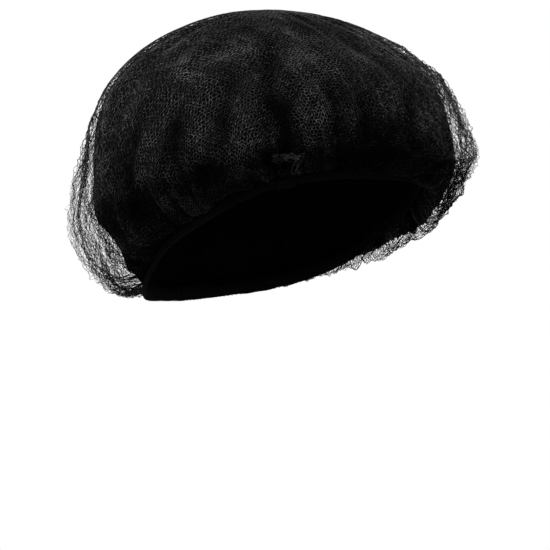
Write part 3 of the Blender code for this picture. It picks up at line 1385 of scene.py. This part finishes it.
@dataclass
class CaughtThreads:
    """Pale loose threads that the join's sewing pulls out of the net; their pale colour is a
    painted glint.

    Attributes:
        skin: The skin that they lie on.
        turn: Turn of the join.
        top: Fall where the bunch ends.
        threads: Threads in the bunch.
        every: Of so many threads, one is long.
        long: Fall that a long thread covers.
        thread: Radius of a thread, in metres.
        spread: Half width of the bunch's top, as a turn.
        lift: How far they stand off the skin, in metres.
    """

    skin: Skin
    turn: float = 0.8985
    top: float = 0.665
    threads: int = 26
    every: int = 9
    long: float = 0.29
    thread: float = 0.11 * MM
    spread: float = 0.0125
    lift: float = 0.5 * MM
    points: int = 22

    def build(self, material: bpy.types.Material) -> bpy.types.Object:
        """Build the bunch.

        Args:
            material: The threads' material.

        Returns:
            The bunch, as one piece.
        """
        draw = np.random.default_rng(SEED + 40)
        skin = self.skin.moved(np.full((self.skin.rows, self.skin.columns), self.lift))
        along = np.linspace(0.0, 1.0, self.points)
        paths = []
        edges = []
        for index in range(self.threads):
            side = draw.uniform(-1.0, 1.0)
            reach = self.long if index % self.every == 0 else draw.uniform(0.012, 0.034)
            fall = self.top + draw.uniform(-0.012, 0.022) + reach * along
            narrow = 1.0 - 0.6 * eased(along * reach / 0.12)
            curl = draw.uniform(0.0, 6.0) + draw.uniform(3.0, 8.0) * along
            turn = self.turn + self.spread * (side * narrow + 0.22 * np.sin(curl))
            paths.append(skin.at(np.mod(turn, 1.0), np.clip(fall, 0.0, 1.0)))
            edges.append(chain(index * self.points, self.points))
        return spun("join_caught_threads", np.concatenate(paths), np.concatenate(edges),
                    self.thread, 5, material)


# Studio


@dataclass(frozen=True)
class Studio:
    """White studio, soft light and the camera.

    Attributes:
        azimuth: Where the camera stands, in degrees from the front.
        elevation: How far the camera looks down, in degrees.
        distance: Distance from the camera to the head's middle, in metres.
        scale: Metres for each pixel of the photograph at that distance.
        seat_pixel: Where the seat lies in the photograph, in pixels.
        frame: Width and height of the photograph, in pixels.
        aim: The point that the lamps face.
        lamps: Each lamp's name, its place along the camera's right, up and
            back, its width in metres and its power in watts.
    """

    azimuth: float = -38.0
    elevation: float = 7.5
    distance: float = 1.8
    scale: float = 0.565 * MM
    seat_pixel: tuple[float, float] = (272.0, 14.0)
    frame: int = 550
    sensor: float = 36.0
    floor_drop: float = 0.42
    floor_reach: float = 60.0
    aim: tuple[float, float, float] = (0.0, 0.0, -0.07)
    lamps: tuple[tuple, ...] = (
        ("key", (-0.8, 0.8, 1.1), 0.9, 23.0),
        ("fill", (1.1, 0.3, 1.0), 1.0, 4.0),
        ("back", (0.3, 0.25, -1.3), 1.0, 9.0),
    )

    def axes(self) -> tuple[Vector, Vector, Vector]:
        """Return the camera's right, up and back directions.

        Returns:
            The three directions.
        """
        around = math.radians(self.azimuth)
        above = math.radians(self.elevation)
        back = Vector((math.sin(around) * math.cos(above), -math.cos(around) * math.cos(above),
                       math.sin(above)))
        right = Vector((math.cos(around), math.sin(around), 0.0))
        return right, back.cross(right), back

    def camera(self) -> None:
        """Place the camera."""
        right, up, back = self.axes()
        aside = (self.seat_pixel[0] - 0.5 * self.frame) * self.scale
        above = (0.5 * self.frame - self.seat_pixel[1]) * self.scale
        data = bpy.data.cameras.new("camera")
        data.sensor_width = self.sensor
        data.lens = self.sensor * self.distance / (self.scale * self.frame)
        data.clip_start = 0.05
        data.clip_end = 2.0 * self.floor_reach
        camera = placed("camera", data)
        turn = Matrix((right, up, back)).transposed().to_4x4()
        turn.translation = back * self.distance - right * aside - up * above
        camera.matrix_world = turn
        bpy.context.scene.camera = camera

    def floor(self) -> bpy.types.Object:
        """Lay the plain white floor, well below the net.

        Returns:
            The floor.
        """
        mesh = bpy.data.meshes.new("floor")
        reach = self.floor_reach
        mesh.from_pydata([(-reach, -reach, 0.0), (reach, -reach, 0.0), (reach, reach, 0.0),
                          (-reach, reach, 0.0)], [], [(0, 1, 2, 3)])
        mesh.transform(Matrix.Translation((0.0, 0.0, -self.floor_drop)))
        white = (1.0, 1.0, 1.0, 1.0)
        _, made, _ = Tree.of_material(
            "white floor", Base_Color=(0.0, 0.0, 0.0, 1.0), Roughness=1.0, Specular_IOR_Level=0.0,
            Emission_Color=white, Emission_Strength=1.0)
        mesh.materials.append(made)
        obj = placed("floor", mesh)
        obj.visible_diffuse = False
        obj.visible_glossy = False
        return obj

    def sky(self) -> None:
        """Set the soft light from above, dim below."""
        world = bpy.data.worlds.new("studio")
        bpy.context.scene.world = world
        world.use_nodes = True
        tree = Tree(world.node_tree)
        background = world.node_tree.nodes["Background"]
        place = tree.add("ShaderNodeTexCoord")
        split = tree.add("ShaderNodeSeparateXYZ")
        tree.join(place.outputs["Generated"], split.inputs["Vector"])
        share = tree.math("MULTIPLY_ADD", split.outputs["Z"], 0.5, 0.5)
        tree.join(tree.ramp(share, (0.30, 0.30, 0.30), (1.0, 1.0, 1.0), 0.05, 0.85),
                  background.inputs["Color"])
        background.inputs["Strength"].default_value = 1.0

    def light(self) -> None:
        """Hang the soft lamps."""
        right, up, back = self.axes()
        aim = Vector(self.aim)
        for name, place, size, power in self.lamps:
            data = bpy.data.lights.new(name, "AREA")
            data.size = size
            data.energy = power
            spot = aim + right * place[0] + up * place[1] + back * place[2]
            turn = (spot - aim).to_track_quat("Z", "Y").to_matrix().to_4x4()
            placed(name, data).matrix_world = Matrix.Translation(spot) @ turn

    def build(self) -> None:
        """Set up the whole studio."""
        bpy.context.scene.view_settings.view_transform = "Standard"
        self.sky()
        self.floor()
        self.light()
        self.camera()


def main() -> None:
    """Dress the frame, piece by piece."""
    logging.basicConfig(level=logging.INFO, format="%(name)s: %(message)s")
    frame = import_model()
    nodes = frame["nodes"]

    form = BagForm(Skin.from_node(nodes["net_outer"], 1.6 * MM).softened(),
                   Skin.from_node(nodes["net_inner"], 3.8 * MM).softened())
    painted_dusk = form.painted_dusk()
    outer, middle, inner = form.outer_net(), form.slack_net(), form.inner_net()
    # Painted shade of the inner net: the shade of its folds times the painted shade of the
    # gathers.
    shade = inner.hollows() * painted_dusk
    dense = DenseNet(inner, shade).build(BunchedNet())

    band = ElasticEdge.from_node(nodes["elastic_band"])
    LOG.info("elastic ring %.3f m round, %.1f mm high", band.length(), band.height / MM)
    ring = band.build(CoveredElastic())
    sewing = NylonThread(name="black sewing thread", deep=(0.0010, 0.0010, 0.0011),
                         tone_and_glint=(0.0065, 0.0065, 0.0068), gloss=0.05).material()
    stitches = band.stitched(0.13 * MM, 178, sewing)
    join = ElasticJoin(band, nodes["band_join"])
    overlap = join.build(CoveredElastic(name="black elastic end"))
    tacks = join.bar_tacks(sewing)

    nylon = NylonThread().material()
    # Paler thread for the caught threads: a painted glint.
    pulled = NylonThread(name="worn nylon thread", deep=(0.010, 0.010, 0.011),
                         tone_and_glint=(0.050, 0.050, 0.052), gloss=0.15).material()
    caught = CaughtThreads(outer).build(pulled)
    thinned = (0.60 + 0.12 * eased((form.falls - 0.78) / 0.12)) * form.puffed
    # The strands carry painted shade: the shade of their folds times the painted shade of the
    # gathers.
    panels = KnittedNet(
        name="net_strands", skin=outer, cell=0.0026, thread=0.20 * MM, lean=0.0, panels=3,
        stray=0.45 * MM, fullness=1.0 - thinned, shade=outer.hollows() * painted_dusk,
    ).build(nylon)
    panels += KnittedNet(
        name="net_folds", skin=middle, cell=0.0029, thread=0.10 * MM, lean=18.0, panels=1,
        stray=0.50 * MM, fullness=eased((form.gap - 4.5 * MM) / (3.0 * MM)),
        shade=middle.hollows() * painted_dusk, seed=SEED + 30,
    ).build(nylon)
    # The inner strands take a quarter of the inner net's shade: painted shade under the outer
    # layers.
    under = KnittedNet(
        name="inner_strands", skin=inner.moved(np.full(painted_dusk.shape, 0.35 * MM)), cell=0.0038,
        thread=0.20 * MM, lean=37.0, panels=2, stray=0.45 * MM, fullness=np.ones(painted_dusk.shape),
        shade=0.25 * shade, seed=SEED + 20, cut_radius=0.192,
    ).build(nylon)

    for piece in (dense, ring, stitches, overlap, tacks, caught, *panels, *under):
        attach(piece, "root")
        count = sum(len(face.vertices) - 2 for face in piece.data.polygons)
        LOG.info("%s: %d triangles", piece.name, count)
    for panel in panels:
        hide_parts("net_outer")
    for piece in (dense, *under):
        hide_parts("net_inner")
    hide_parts("elastic_band")
    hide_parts("band_join")
    cut = inner.cut_area()

    Studio().build()


if __name__ == "__main__":
    main()
